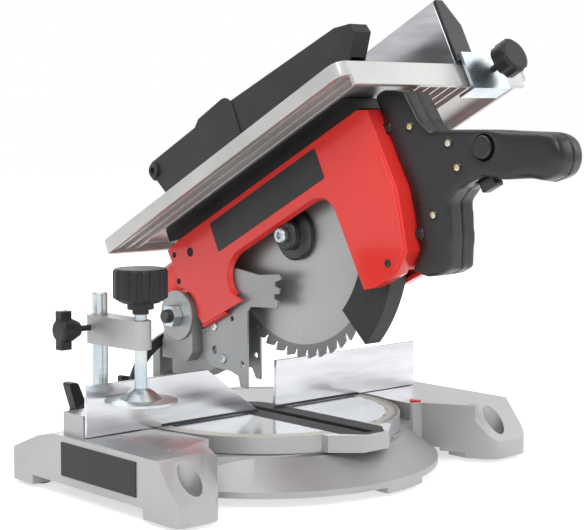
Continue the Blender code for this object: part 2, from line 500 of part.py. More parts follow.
cut(cap, rod("cut_cap_bearing", 0.0050 + 0.0001, "X", 0.10, 0.1260, None, head, MOTOR, 24, True))
for k in range(8):
    t = 2 * math.pi * k / 8 + 0.13
    at = (MOTOR[0] + 0.0250 * math.cos(t), MOTOR[1] + 0.0250 * math.sin(t))
    tube_mesh_cut(f"cut_cap_vent_{k}", cap, 0.0040, "X", 0.10, 0.150, at, 16, head)

# moving guard over the front of the blade
GUARD_R = 0.1220
A0 = math.radians(180 + 22)
A1 = math.radians(180 + 70)


def sector(r0, r1, a0, a1, n=24):
    return ring(r1, n, HUB, a0, a1, closed=False) + ring(r0, n, HUB, a1, a0, closed=False)


guard = prism("moving_guard", sector(GUARD_R - 0.0025, GUARD_R, A0, A1), "X", -0.0090, 0.0080, DARK, head)
join(guard, prism("guard_left_sheet", sector(0.0850, GUARD_R - 0.001, A0, A1), "X", -0.0090, -0.0068,
    None, head, cutter=True))
join(guard, prism("guard_right_sheet", sector(0.0280, GUARD_R - 0.001, A0, A1), "X", 0.0058, 0.0080,
    None, head, cutter=True))
join(guard, rod("guard_hub", 0.0310, "X", 0.0058, 0.0080, None, head, HUB, 48, True))
tube_mesh_cut("cut_guard_hub", guard, COLLAR_R + GAP, "X", 0.0, 0.02, HUB, 48, head)

# dust port at the rear of the housing, above the pivot
port = rod("dust_port", 0.0160, "Y", -0.0080 + GAP, 0.0360, RED, head, (0.0, 0.0400), 40)
tube_mesh_cut("cut_dust_bore", port, 0.0125, "Y", 0.0, 0.05, (0.0, 0.0400), 32, head)

# ---- handle -------------------------------------------------------------
side = [(-0.2880, 0.0600), (-0.2960, 0.0680), (-0.3060, 0.0680), (-0.3260, 0.0560), (-0.3300, 0.0270),
    (-0.3360, 0.0160), (-0.3480, 0.0120), (-0.3800, -0.0040), (-0.4380, -0.0350), (-0.4430, -0.0430),
    (-0.4430, -0.0510), (-0.4390, -0.0600), (-0.4310, -0.0660), (-0.4170, -0.0650), (-0.4090, -0.0580),
    (-0.3840, -0.0470), (-0.3690, -0.0370), (-0.3420, -0.0350), (-0.3300, -0.0400), (-0.3200, -0.0650),
    (-0.3080, -0.0860), (-0.2970, -0.0860), (-0.2830, -0.0820), (-0.2740, -0.0735), (-0.2700, -0.0725),
    (-0.2857, -0.0613), (-0.2928, -0.0350), (-0.2976, -0.0130), (-0.2967, 0.0110), (-0.2957, 0.0565)]
HANDLE_L = -0.0100
HANDLE_R = 0.0200
SEAM = 0.0050
halves = []
for name, lo, hi in (("handle_left", HANDLE_L, SEAM - GAP / 2), ("handle_right", SEAM + GAP / 2, HANDLE_R)):
    half = prism(name, side[1:-1] + [(-0.2957, 0.0600)], "X", lo, hi, BLACK, head)
    cut(half, box("cut_trigger_" + name, (SEAM - 0.0053, -0.3745, -0.0600), (SEAM + 0.0053, -0.3515, -0.0250),
        None, head, True))
    halves.append(half)
trigger_axis = empty("trigger_axis", (SEAM, -0.3630, -0.0400), head)
trigger = box("trigger", (-0.0050, -0.0080, -0.0050), (0.0050, 0.0080, 0.0100), BLACK, trigger_axis)
soften(trigger, 0.0015)
LOCK = (-0.3790, -0.0180)
cut(halves[0], rod("cut_lock_seat", 0.0093, "X", -0.030, 0.0010, None, head, LOCK, 32, True))
button = turned("lock_off_button", [(0, HANDLE_L - 0.0022), (0.0075, HANDLE_L - 0.0022), (0.0090, HANDLE_L - 0.0010),
    (0.0090, -0.0020), (0, -0.0020)], "X", DARK, head, LOCK, 32)

# ---- upper table --------------------------------------------------------
PLATE_LO = TABLE_TOP - TABLE_T
table = prism("upper_table", rounded([(-TABLE_L, TABLE_F), (TABLE_R, TABLE_F), (TABLE_R, TABLE_B),
    (-TABLE_L, TABLE_B)], 0.012), "Z", TABLE_TOP - 0.0120, TABLE_TOP, SILVER, head)
cut(table, box("cut_table_room", (-TABLE_L + 0.004, TABLE_F + 0.006, 0.0), (TABLE_R - 0.004, TABLE_B - 0.004, PLATE_LO),
    None, head, True))
join(table, box("table_front_rim", (-TABLE_L + 0.012, TABLE_F, TABLE_TOP - 0.0200), (TABLE_R - 0.012, TABLE_F + 0.004,
    TABLE_TOP - 0.002), None, head, True))
for k in range(9):
    x = -0.058 + 0.0120 * k
    if x > -0.024:
        x += 0.060
    if x < TABLE_R - 0.016:
        join(table, box(f"table_rib_{k}", (x, TABLE_F + 0.003, TABLE_TOP - 0.0090), (x + 0.003, TABLE_B - 0.002,
            PLATE_LO + 0.001), None, head, True))
cut(table, box("cut_table_insert", (-0.0210 - GAP, -0.2800 - GAP, TABLE_TOP - 0.0025 - GAP),
    (0.0190 + GAP, -0.0010 + GAP, 0.20), None, head, True))
cut(table, box("cut_table_blade", (-0.0100, -0.2720, 0.0), (0.0080, -0.0090, 0.20), None, head, True))
table_insert = box("table_insert", (-0.0210, -0.2800, TABLE_TOP - 0.0025), (0.0190, -0.0010, TABLE_TOP - 0.0001),
    DARK, head)
cut(table_insert, box("cut_table_kerf", (-0.0028, -0.2600, 0.0), (0.0028, -0.0040, 0.20), None, head, True))

# ---- upper hood on the knife -------------------------------------------
hood_axis = empty("hood_axis", (0, HOOD[0], HOOD[1]), head)
HOOD_LO = TABLE_TOP + 0.0006 - HOOD[1]
hood_side = [(-0.0100, HOOD_LO + 0.020), (-0.0200, HOOD_LO), (-0.2490, HOOD_LO), (-0.2860, -0.0130),
    (-0.2840, -0.0050), (-0.2660, 0.0010), (-0.1120, 0.0090), (-0.0830, 0.0110), (-0.0790, 0.0075), (0.0000, 0.0085)]
hood_side += ring(0.0085, 10, (0, 0), math.radians(80), math.radians(-80), closed=False)
hood = prism("upper_hood", hood_side, "X", -0.0095, 0.0095, DARK, hood_axis)
hood_in = [(0.0150, HOOD_LO - 0.010), (-0.2480, HOOD_LO - 0.010), (-0.2830, -0.0120), (-0.2810, -0.0070),
    (-0.2660, -0.0015), (-0.1120, 0.0065), (-0.0150, 0.0065), (0.0150, 0.0065)]
cut(hood, prism("cut_hood_room", hood_in, "X", -0.0072, 0.0072, None, hood_axis, cutter=True))
cut(hood, box("cut_hood_knife", (-0.0072, -0.0150, -0.06), (0.0072, 0.0200, 0.0200), None, hood_axis, True))
tube_mesh_cut("cut_hood_pin", hood, 0.0031, "X", -0.02, 0.02, (0, 0), 20, hood_axis)
turned("hood_bolt", [(0, -0.0120), (0.0050, -0.0120), (0.0055, -0.0110), (0.0055, -0.0095 - GAP),
    (0.0029, -0.0095 - GAP), (0.0029, 0.0095 + GAP), (0.0029, 0.0105), (0, 0.0105)], "X", BLACK, head, HOOD, 24)

# ---- rip fence on the upper table --------------------------------------
rip_axis = empty("rip_axis", (0, 0, TABLE_TOP), head)
RIP_F = TABLE_F - 0.0040
RIP_B = 0.0150
rip_side = [(RIP_X, GAP), (RIP_X + 0.018, GAP), (RIP_X + RIP_W, 0.004), (RIP_X + RIP_W, 0.034),
    (RIP_X + 0.009, RIP_H), (RIP_X, RIP_H)]
rip = prism("rip_fence", rip_side, "Y", RIP_F + 0.0035, RIP_B, BRIGHT, rip_axis)
rip_core = [(RIP_X + 0.002, 0.0025), (RIP_X + 0.0165, 0.0025), (RIP_X + 0.019, 0.0055), (RIP_X + 0.019, 0.033),
    (RIP_X + 0.0085, RIP_H - 0.002), (RIP_X + 0.002, RIP_H - 0.002)]
cut(rip, prism("cut_rip_core", rip_core, "Y", RIP_F - 0.01, RIP_B + 0.01, None, rip_axis, cutter=True))
prism("rip_fence_cap", rip_side, "Y", RIP_F, RIP_F + 0.0035 - GAP, BLACK, rip_axis)
bracket = box("rip_clamp", (RIP_X + 0.0035, RIP_F - 0.0030 - GAP, -0.0260), (RIP_X + 0.0480, RIP_F - GAP, 0.0070),
    ZINC, rip_axis)
join(bracket, box("rip_clamp_hook", (RIP_X + 0.0035, RIP_F - 0.0030 - GAP, -0.0260), (RIP_X + 0.0480, TABLE_F + 0.010,
    -0.0235), None, rip_axis, True))
tube_mesh_cut("cut_rip_knob_hole", bracket, 0.0029, "Y", -0.40, -0.30, (RIP_X + 0.036, -0.0080), 20, rip_axis)
knob_axis = empty("rip_knob_axis", (RIP_X + 0.036, 0, -0.0080), rip_axis)
K0 = RIP_F - 0.0030 - GAP
rip_knob = turned("rip_fence_knob", [(0, K0 - 0.0260), (0.0120, K0 - 0.0260), (0.0150, K0 - 0.0240),
    (0.0150, K0 - 0.0120), (0.0080, K0 - 0.0100), (0.0060, K0 - 0.0060), (0.0027, K0 - 0.0060), (0.0027, TABLE_F - GAP),
    (0, TABLE_F - GAP)], "Y", BLACK, knob_axis, (0, 0), 36)
for k in range(6):
    t = 2 * math.pi * k / 6
    cut(rip_knob, rod(f"cut_rip_lobe_{k}", 0.0050, "Y", K0 - 0.040, K0 - 0.0105, None, knob_axis,
        (0.0182 * math.cos(t), 0.0182 * math.sin(t)), 16, True))

# ---- hold-down clamp ----------------------------------------------------
turned("clamp_post", [(0, -0.0018), (POST_R, -0.0018), (POST_R, POST_TOP - 0.001), (POST_R - 0.001, POST_TOP),
    (0, POST_TOP)], "Z", ZINC, saw, (POST_X, POST_Y), 32)
ARM_LO = 0.0720
ARM_HI = 0.0950
clamp = empty("clamp_axis", (POST_X, POST_Y, 0), saw)
DX = SCREW_X - POST_X
DY = SCREW_Y - POST_Y
plan = ring(0.0105, 16, (0, 0), 0.1, math.pi - 0.1, closed=False)
plan += ring(0.0085, 16, (DX, DY), math.pi + 0.1, 2 * math.pi - 0.1, closed=False)
clamp_arm = prism("clamp_arm", plan, "Z", ARM_LO, ARM_HI, SILVER, clamp)
tube_mesh_cut("cut_clamp_post", clamp_arm, POST_R + GAP, "Z", 0.0, 0.2, (0, 0), 32, clamp)
tube_mesh_cut("cut_clamp_thread", clamp_arm, SCREW_R + 0.0001, "Z", 0.0, 0.2, (DX, DY), 32, clamp)
tube_mesh_cut("cut_clamp_lock", clamp_arm, 0.0025, "X", -0.03, 0.0, (0.0, 0.0850), 20, clamp)
arm_knob = turned("clamp_arm_knob", [(0, -0.0405), (0.0080, -0.0405), (0.0095, -0.0385), (0.0095, -0.0290),
    (0.0060, -0.0215), (0.0024, -0.0215), (0.0024, -POST_R - GAP), (0, -POST_R - GAP)],
    "X", BLACK, clamp, (0.0, 0.0850), 28)
join(arm_knob, box("clamp_wing", (-0.0400, -0.0040, 0.0695), (-0.0300, 0.0040, 0.1005), None, clamp, True))
screw_axis = empty("clamp_screw_axis", (DX, DY, 0), clamp)
turned("clamp_screw", [(0, FOOT_Z + 0.0030), (SCREW_R, FOOT_Z + 0.0030), (SCREW_R, 0.1100), (0, 0.1100)],
    "Z", ZINC, screw_axis, (0, 0), 32)
knob = turned("clamp_knob", [(0, 0.1000), (0.0065, 0.1000), (0.0065, 0.1035), (0.0105, 0.1040), (0.0105, 0.1085),
    (0.0150, 0.1090), (0.0216, 0.1130), (0.0216, 0.1340), (0.0198, 0.1360), (0, 0.1365)],
    "Z", BLACK, screw_axis, (0, 0), 48)
tube_mesh_cut("cut_knob_socket", knob, SCREW_R + 0.0001, "Z", 0.09, 0.1103, (0, 0), 32, screw_axis)
for k in range(14):
    t = 2 * math.pi * k / 14
    cut(knob, rod(f"cut_knob_flute_{k}", 0.0026, "Z", 0.1100, 0.1500, None, screw_axis,
        (0.0226 * math.cos(t), 0.0226 * math.sin(t)), 12, True))
foot = turned("clamp_foot", [(0, FOOT_Z), (0.0290, FOOT_Z), (0.0290, FOOT_Z + 0.0018), (0.0165, FOOT_Z + 0.0030),
    (0.0110, FOOT_Z + 0.0080), (0.0062, FOOT_Z + 0.0110), (0, FOOT_Z + 0.0110)], "Z", ZINC, screw_axis, (0, 0), 48)
tube_mesh_cut("cut_foot_socket", foot, SCREW_R + 0.0001, "Z", FOOT_Z + 0.0027, 0.2, (0, 0), 32, screw_axis)
post_knob_axis = empty("post_knob_axis", (POST_X, 0, 0.0090), saw)
post_knob = turned("clamp_post_knob", [(0, 0.0560), (0.0085, 0.0560), (0.0100, 0.0540), (0.0100, 0.0440),
    (0.0060, 0.0390), (0.0031, 0.0390), (0.0031, POST_Y + POST_R + GAP), (0, POST_Y + POST_R + GAP)],
    "Y", BLACK, post_knob_axis, (0, 0), 28)
join(post_knob, prism("post_wing", rounded([(-0.0060, 0.0), (0.0060, 0.0), (-0.0060, 0.0280), (-0.0150, 0.0280)], 0.003),
    "Y", 0.0450, 0.0550, None, post_knob_axis, cutter=True))

for ob in parts.objects:
    smooth(ob)
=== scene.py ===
import math
import json

import bpy
import bmesh
import numpy as np
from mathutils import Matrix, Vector


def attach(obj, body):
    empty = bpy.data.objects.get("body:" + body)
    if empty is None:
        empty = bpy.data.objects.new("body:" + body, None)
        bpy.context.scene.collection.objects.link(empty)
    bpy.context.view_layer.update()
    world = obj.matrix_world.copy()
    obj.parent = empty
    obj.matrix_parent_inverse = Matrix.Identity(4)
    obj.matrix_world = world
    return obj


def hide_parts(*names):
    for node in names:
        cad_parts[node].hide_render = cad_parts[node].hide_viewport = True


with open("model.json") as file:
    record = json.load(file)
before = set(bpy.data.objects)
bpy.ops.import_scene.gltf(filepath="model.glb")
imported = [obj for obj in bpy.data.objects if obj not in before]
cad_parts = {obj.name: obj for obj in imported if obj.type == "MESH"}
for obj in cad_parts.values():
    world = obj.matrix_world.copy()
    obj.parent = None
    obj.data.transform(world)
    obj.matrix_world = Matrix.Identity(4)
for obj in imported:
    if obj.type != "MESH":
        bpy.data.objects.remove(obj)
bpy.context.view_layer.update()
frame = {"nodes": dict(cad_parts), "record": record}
nodes = frame["nodes"]
bodyOf = {node: body for body, group in frame["record"]["behaviour"]["bodies"].items() for node in group}
print("frame loaded,", len(nodes), "nodes")

# places shared by several pieces, in metres
saw = {
    "pivotY": 0.1715, "pivotZ": 0.1262,      # head pivot
    "raise": math.radians(27),               # head angle above level at rest
    "hubY": -0.155, "hubZ": 0.010,           # blade centre from the pivot, head level
    "motorY": -0.1245, "motorZ": 0.0257,     # motor axis from the pivot, head level
    "fenceY": 0.081, "topZ": 0.050,          # fence face and table top
    "coverX": -0.022,                        # outer face of the red cover
}


# ---- shader helpers

class Signal:
    # one shader value; sums and products of signals add Math nodes
    def __init__(self, tree, socket):
        self.tree = tree
        self.socket = socket

    def math(self, how, first, second=0.0):
        n = self.tree.nodes.new("ShaderNodeMath")
        n.operation = how
        for slot, value in zip(n.inputs, (first, second)):
            if isinstance(value, Signal):
                self.tree.links.new(value.socket, slot)
            else:
                slot.default_value = value
        return Signal(self.tree, n.outputs[0])

    def __add__(self, other):
        return self.math("ADD", self, other)

    def __radd__(self, other):
        return self.math("ADD", other, self)

    def __sub__(self, other):
        return self.math("SUBTRACT", self, other)

    def __rsub__(self, other):
        return self.math("SUBTRACT", other, self)

    def __mul__(self, other):
        return self.math("MULTIPLY", self, other)

    def __rmul__(self, other):
        return self.math("MULTIPLY", other, self)

    def __truediv__(self, other):
        return self.math("DIVIDE", self, other)

    def __pow__(self, other):
        return self.math("POWER", self, other)

    def __gt__(self, other):
        return self.math("GREATER_THAN", self, other)

    def __lt__(self, other):
        return self.math("LESS_THAN", self, other)


class Finish:
    # a material under construction round its Principled shader
    def __init__(self, name, colour, rough, metal=0.0, coat=0.0):
        self.material = bpy.data.materials.new(name)
        self.material.use_nodes = True
        self.tree = self.material.node_tree
        self.shader = self.tree.nodes["Principled BSDF"]
        self.material.diffuse_color = (*colour, 1)
        self.colour = colour
        self.put("Base Color", (*colour, 1))
        self.put("Roughness", rough)
        self.put("Metallic", metal)
        self.put("Coat Weight", coat)
        self.put("Coat Roughness", 0.08)
        self.place = self.node("ShaderNodeTexCoord", out="Object")

    def node(self, kind, settings=None, inputs=None, out=0):
        n = self.tree.nodes.new(kind)
        for key, value in (settings or {}).items():
            if key == "stops":
                ramp = n.color_ramp
                ramp.elements[0].position, ramp.elements[0].color = value[0][0], (*value[0][1], 1)
                ramp.elements[-1].position, ramp.elements[-1].color = value[-1][0], (*value[-1][1], 1)
                for at, tone in value[1:-1]:
                    ramp.elements.new(at).color = (*tone, 1)
            else:
                setattr(n, key, value)
        for key, value in (inputs or {}).items():
            self.feed(n.inputs[key], value)
        return Signal(self.tree, n.outputs[out])

    def feed(self, slot, value):
        if isinstance(value, Signal):
            self.tree.links.new(value.socket, slot)
        else:
            slot.default_value = value

    def put(self, socket, value):
        self.feed(self.shader.inputs[socket], value)

    def noise(self, scale, detail=3.0, stretch=(1, 1, 1), rough=0.55):
        # fractal noise on object coordinates, pulled out along an axis where stretch is small
        at = self.node("ShaderNodeMapping", inputs={"Vector": self.place, "Scale": stretch}, out="Vector")
        return self.node("ShaderNodeTexNoise", inputs={"Vector": at, "Scale": scale, "Detail": detail,
                                                       "Roughness": rough}, out="Fac")

    def xyz(self, source=None):
        n = self.tree.nodes.new("ShaderNodeSeparateXYZ")
        self.feed(n.inputs[0], source or self.place)
        return [Signal(self.tree, s) for s in n.outputs]

    def blend(self, mask, first, second):
        n = self.tree.nodes.new("ShaderNodeMix")
        n.data_type = "RGBA"
        self.feed(n.inputs["Factor"], mask)
        for key, value in (("A", first), ("B", second)):
            slot = [s for s in n.inputs if s.name == key and s.type == "RGBA"][0]
            self.feed(slot, value if isinstance(value, Signal) else (*value, 1))
        return Signal(self.tree, [s for s in n.outputs if s.type == "RGBA"][0])

    def step(self, value, low, high):
        # 0 below low, 1 above high, smooth between
        return self.node("ShaderNodeMapRange", {"interpolation_type": "SMOOTHSTEP"},
                         {"Value": value, "From Min": low, "From Max": high}, out="Result")

    def bump(self, height, strength, depth):
        self.put("Normal", self.node("ShaderNodeBump", inputs={"Height": height, "Strength": strength,
                                                               "Distance": depth}, out="Normal"))

    def upward(self, least=0.9):
        normal = self.node("ShaderNodeNewGeometry", out="Normal")
        return self.xyz(normal)[2] > least


def darker(colour, by):
    # each channel times the same share
    return tuple(c * by for c in colour)


def castMetal(name, colour, rough=0.42, metal=0.55, grain=700, milledAbove=None):
    # die-cast metal: fine pitted grain over slow clouding, with milled tops where milledAbove is given
    f = Finish(name, colour, rough, metal)
    cloud = f.noise(14, 4)
    pits = f.noise(grain, 2)
    tone = f.blend(f.step(cloud, 0.3, 0.7), darker(colour, 0.90), darker(colour, 1.05))
    smoothness = rough + (cloud - 0.5) * 0.16
    if milledAbove is not None:
        top = f.upward(0.95) * (f.xyz()[2] > milledAbove)
        streak = f.noise(60, 3, (1, 14, 1))
        bright = f.blend(streak, (0.56, 0.56, 0.57), (0.72, 0.72, 0.73))
        tone = f.blend(top, tone, bright)
        smoothness = smoothness * (1 - top) + (0.24 + streak * 0.10) * top
        f.put("Metallic", metal + top * 0.3)
    f.put("Base Color", tone)
    f.put("Roughness", smoothness)
    f.bump(pits, 0.35, 0.0004)
    return f.material


def brushedMetal(name, colour, rough=0.26, metal=0.95, stretch=(1, 30, 30), scale=40):
    # ground metal: noise pulled out along the grain moves tone, gloss and a faint bump
    f = Finish(name, colour, rough, metal)
    grain = f.noise(scale, 4, stretch)
    cloud = f.noise(9, 3)
    mix = f.step(grain * 0.6 + cloud * 0.4, 0.3, 0.7)
    f.put("Base Color", f.blend(mix, darker(colour, 0.80), darker(colour, 1.08)))
    f.put("Roughness", rough + (grain - 0.5) * 0.22 + (cloud - 0.5) * 0.08)
    f.bump(grain, 0.12, 0.0002)
    return f.material


def mouldedPlastic(name, colour, rough=0.42, grain=1400, depth=0.00025, coat=0.0, shine=0.32):
    # moulded plastic: spark-eroded grain, and rub marks that change the gloss a little
    f = Finish(name, colour, rough, 0.0, coat)
    f.put("Specular IOR Level", shine)
    cells = f.node("ShaderNodeTexVoronoi", inputs={"Vector": f.place, "Scale": grain}, out="Distance")
    cloud = f.noise(22, 4)
    f.put("Base Color", f.blend(f.step(cloud, 0.3, 0.75), colour, tuple(c * 1.35 + 0.004 for c in colour)))
    f.put("Roughness", rough + (cloud - 0.5) * 0.20)
    f.bump(cells, 0.30, depth)
    return f.material


def glossPaint(name, colour, rough=0.24):
    # sprayed enamel: orange peel under a clear coat, slightly deeper where the cloud is low
    f = Finish(name, colour, rough, 0.0, 0.28)
    f.put("Specular IOR Level", 0.35)
    peel = f.noise(260, 2)
    cloud = f.noise(7, 3)
    f.put("Base Color", f.blend(f.step(cloud, 0.25, 0.75), darker(colour, 0.90), colour))
    f.put("Roughness", rough + (cloud - 0.5) * 0.10)
    f.bump(peel, 0.16, 0.0003)
    return f.material


def platedMetal(name, colour, tint, rough=0.28):
    # zinc plate: two passivation tints cloud into each other over faint spangle
    f = Finish(name, colour, rough, 0.95)
    cloud = f.noise(45, 4)
    spangle = f.node("ShaderNodeTexVoronoi", inputs={"Vector": f.place, "Scale": 420}, out="Distance")
    f.put("Base Color", f.blend(f.step(cloud, 0.35, 0.65), colour, tint))
    f.put("Roughness", rough + (cloud - 0.5) * 0.18 + spangle * 0.06)
    f.bump(spangle, 0.08, 0.0002)
    return f.material


def rubberStock(name):
    # soft black rubber under a film of dust
    f = Finish(name, (0.018, 0.018, 0.019), 0.8)
    dust = f.noise(180, 4)
    f.put("Base Color", f.blend(f.step(dust, 0.45, 0.8), (0.016, 0.016, 0.017), (0.055, 0.055, 0.055)))
    f.put("Roughness", 0.72 + dust * 0.2)
    f.bump(dust, 0.4, 0.0004)
    return f.material


# ---- mesh helpers

def fromHead(points):
    # points of the level head, taken about its pivot, turned up to the rest angle
    p = np.asarray(points, float)
    c, s = math.cos(saw["raise"]), math.sin(saw["raise"])
    y, z = p[..., 1], p[..., 2]
    return np.stack([p[..., 0], saw["pivotY"] + y * c + z * s, saw["pivotZ"] - y * s + z * c], -1)


def fromSaw(points):
    # points measured from the fence face and the table top
    return np.asarray(points, float) + np.array([0, saw["fenceY"], saw["topZ"]])


def gridFaces(rows, columns, wrap=True, start=0):
    # quads between neighbours of a rows by columns grid, closed round the columns when wrap is set
    i, j = np.meshgrid(np.arange(rows - 1), np.arange(columns if wrap else columns - 1), indexing="ij")
    k = (j + 1) % columns
    return (start + np.stack([i * columns + j, i * columns + k, (i + 1) * columns + k, (i + 1) * columns + j],
                             -1)).reshape(-1, 4)


def piece(name, points, faces, material, body, slot, flat=False, weld=True, bevel=0.0, angle=35):
    # one object at the origin with its place in its mesh; normals are made to point out
    mesh = bpy.data.meshes.new(name)
    mesh.from_pydata(np.asarray(points).reshape(-1, 3).tolist(), [], [list(map(int, f)) for f in faces])
    bm = bmesh.new()
    bm.from_mesh(mesh)
    if weld:
        bmesh.ops.remove_doubles(bm, verts=bm.verts, dist=1e-6)
        bmesh.ops.dissolve_degenerate(bm, edges=bm.edges, dist=1e-7)
    bmesh.ops.recalc_face_normals(bm, faces=bm.faces)
    bm.to_mesh(mesh)
    bm.free()
    ob = bpy.data.objects.new(name, mesh)
    bpy.context.scene.collection.objects.link(ob)
    finishEdges(ob, bevel, angle, flat)
    mesh.materials.append(material)
    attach(ob, body)
    return ob


def finishEdges(ob, bevel, angle=35, flat=False, segments=2):
    # smooth shading with sharp creases, and a small round on edges when bevel is set
    if not flat:
        ob.data.shade_smooth()
        ob.data.set_sharp_from_angle(angle=math.radians(angle))
    if bevel:
        m = ob.modifiers.new("Edge", "BEVEL")
        m.width = bevel
        m.segments = segments
        m.limit_method = "ANGLE"
        m.angle_limit = math.radians(28)
        m.harden_normals = False
        m.use_clamp_overlap = True


def lathe(profile, centre, axis, steps=32):
    # the profile's (radius, along) pairs turned round an axis: a grid of angle against profile point
    profile = np.asarray(profile, float)
    turn = np.linspace(0, 2 * np.pi, steps, endpoint=False)
    radius, along = profile[:, :1], profile[:, 1:]
    u = radius * np.cos(turn)
    v = radius * np.sin(turn)
    w = along + 0 * turn
    order = {"X": (w, u, v), "Y": (v, w, u), "Z": (u, v, w)}[axis]
    points = np.stack(order, -1) + np.asarray(centre, float)
    return points.reshape(-1, 3), gridFaces(len(profile), steps)


def slab(outline, low, high, axis="X"):
    # an outline in the plane across the axis, carried from low to high, with both ends closed
    o = np.asarray(outline, float)
    n = len(o)
    layers = []
    for w in (low, high):
        w = np.full(n, w)
        layers.append(np.stack({"X": (w, o[:, 0], o[:, 1]), "Y": (o[:, 0], w, o[:, 1]),
                                "Z": (o[:, 0], o[:, 1], w)}[axis], -1))
    faces = [list(range(n))[::-1], list(range(n, 2 * n))] + gridFaces(2, n).tolist()
    return np.concatenate(layers), faces


def merged(parts):
    # several (points, faces) pairs as one
    points, faces, start = [], [], 0
    for p, f in parts:
        p = np.asarray(p).reshape(-1, 3)
        points.append(p)
        faces += [[int(i) + start for i in face] for face in f]
        start += len(p)
    return np.concatenate(points), faces


def arcPoints(radius, start, stop, count, centre=(0, 0)):
    # points on a circle from one angle in degrees to another
    t = np.radians(np.linspace(start, stop, count))
    return np.stack([centre[0] + radius * np.cos(t), centre[1] + radius * np.sin(t)], -1)


def roundedOutline(corners, radius, steps=5):
    # each corner replaced by a quadratic arc between points at the radius along its two sides
    p = np.asarray(corners, float)
    before, after = np.roll(p, 1, 0) - p, np.roll(p, -1, 0) - p
    lengthA = np.linalg.norm(before, axis=1, keepdims=True)
    lengthB = np.linalg.norm(after, axis=1, keepdims=True)
    a = p + before / lengthA * np.minimum(radius, 0.45 * lengthA)
    b = p + after / lengthB * np.minimum(radius, 0.45 * lengthB)
    t = np.linspace(0, 1, steps)[None, :, None]
    return (a[:, None] * (1 - t) ** 2 + 2 * p[:, None] * t * (1 - t) + b[:, None] * t ** 2).reshape(-1, 2)


def softened(node, material, width=0.0012, angle=35, segments=2):
    # a merged copy of a CAD node with rounded edges stands for it
    source = nodes[node]
    mesh = source.data.copy()
    bm = bmesh.new()
    bm.from_mesh(mesh)
    bmesh.ops.remove_doubles(bm, verts=bm.verts, dist=2e-6)
    bmesh.ops.dissolve_limit(bm, angle_limit=math.radians(1.0), verts=bm.verts, edges=bm.edges)
    bm.to_mesh(mesh)
    bm.free()
    mesh.materials.clear()
    mesh.materials.append(material)
    ob = bpy.data.objects.new(node + "_look", mesh)
    bpy.context.scene.collection.objects.link(ob)
    finishEdges(ob, width, angle, segments=segments)
    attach(ob, bodyOf[node])
    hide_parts(node)
    return ob


def toHead(points):
    # world places to the head's own frame: the turn of fromHead undone
    y, z = points[:, 1] - saw["pivotY"], points[:, 2] - saw["pivotZ"]
    c, s = math.cos(saw["raise"]), math.sin(saw["raise"])
    return np.stack([points[:, 0], y * c - z * s, y * s + z * c], 1)


def melted(node, material):
    # a handle half whose edges flow: voxels of its solid, relaxed most on the grip and not at all at the seam
    temp = bpy.data.objects.new("temp", nodes[node].data.copy())
    bpy.context.scene.collection.objects.link(temp)
    voxels = temp.modifiers.new("Voxels", "REMESH")
    voxels.mode = "VOXEL"
    voxels.voxel_size = grip["voxel"]
    found = temp.evaluated_get(bpy.context.evaluated_depsgraph_get())
    mesh = bpy.data.meshes.new_from_object(found)
    bpy.data.objects.remove(temp)
    co = np.empty(len(mesh.vertices) * 3)
    mesh.vertices.foreach_get("co", co)
    own = toHead(co.reshape(-1, 3))
    fromSeam = np.clip((np.abs(own[:, 0] - grip["seam"]) - 0.0012) / grip["fade"], 0, 1)
    onGrip = np.clip((grip["from"] - own[:, 1]) / 0.012, 0, 1)
    pull = fromSeam * (grip["body"] + (1 - grip["body"]) * onGrip)
    mesh.materials.clear()
    mesh.materials.append(material)
    ob = bpy.data.objects.new(node + "_look", mesh)
    bpy.context.scene.collection.objects.link(ob)
    group = ob.vertex_groups.new(name="Pull")
    for level in range(1, 21):
        group.add(np.flatnonzero(np.round(pull * 20) == level).tolist(), level / 20, "REPLACE")
    relax = ob.modifiers.new("Relax", "SMOOTH")
    relax.factor = 1.0
    relax.iterations = grip["passes"]
    relax.vertex_group = "Pull"
    mesh.polygons.foreach_set("use_smooth", np.ones(len(mesh.polygons), bool))
    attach(ob, bodyOf[node])
    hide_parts(node)


def paint(node, material):
    # a CAD node that keeps its own mesh takes one material
    mesh = nodes[node].data
    mesh.materials.clear()
    mesh.materials.append(material)


# ---- finishes

tones = {
    "cast": (0.44, 0.44, 0.445), "milled": (0.62, 0.62, 0.63), "red": (0.90, 0.040, 0.032),
    "grey": (0.36, 0.37, 0.375), "black": (0.008, 0.008, 0.009),
    "zinc": (0.44, 0.52, 0.57), "zincTint": (0.62, 0.65, 0.63), "yellowZinc": (0.62, 0.52, 0.28),
    "hood": (0.026, 0.027, 0.029), "steel": (0.50, 0.50, 0.50),
}
castBase = castMetal("castBase", tones["cast"], milledAbove=0.0492)
castPlain = castMetal("castPlain", tones["cast"])
castArm = castMetal("castArm", (0.36, 0.37, 0.37), 0.48)
plateGrey = brushedMetal("plateGrey", tones["grey"], 0.38, 0.5, (1, 8, 8), 60)
fenceMetal = brushedMetal("fenceMetal", (0.66, 0.67, 0.70), 0.20, 0.85, (0.6, 1, 5), 26)
redEnamel = glossPaint("redEnamel", tones["red"])
redPlastic = mouldedPlastic("redPlastic", tones["red"], 0.35, coat=0.2)
blackPlastic = mouldedPlastic("blackPlastic", tones["black"], 0.30, shine=0.5)
knobPlastic = mouldedPlastic("knobPlastic", (0.016, 0.016, 0.017), 0.45, 900)
hoodPlastic = mouldedPlastic("hoodPlastic", tones["hood"], 0.50, 1100)
insertPlastic = mouldedPlastic("insertPlastic", (0.030, 0.030, 0.032), 0.55, 700)
darkSteel = brushedMetal("darkSteel", (0.060, 0.060, 0.065), 0.40, 0.6, (1, 6, 6), 50)
steel = brushedMetal("steel", tones["steel"], 0.25, 0.95)
zinc = platedMetal("zinc", tones["zinc"], tones["zincTint"])
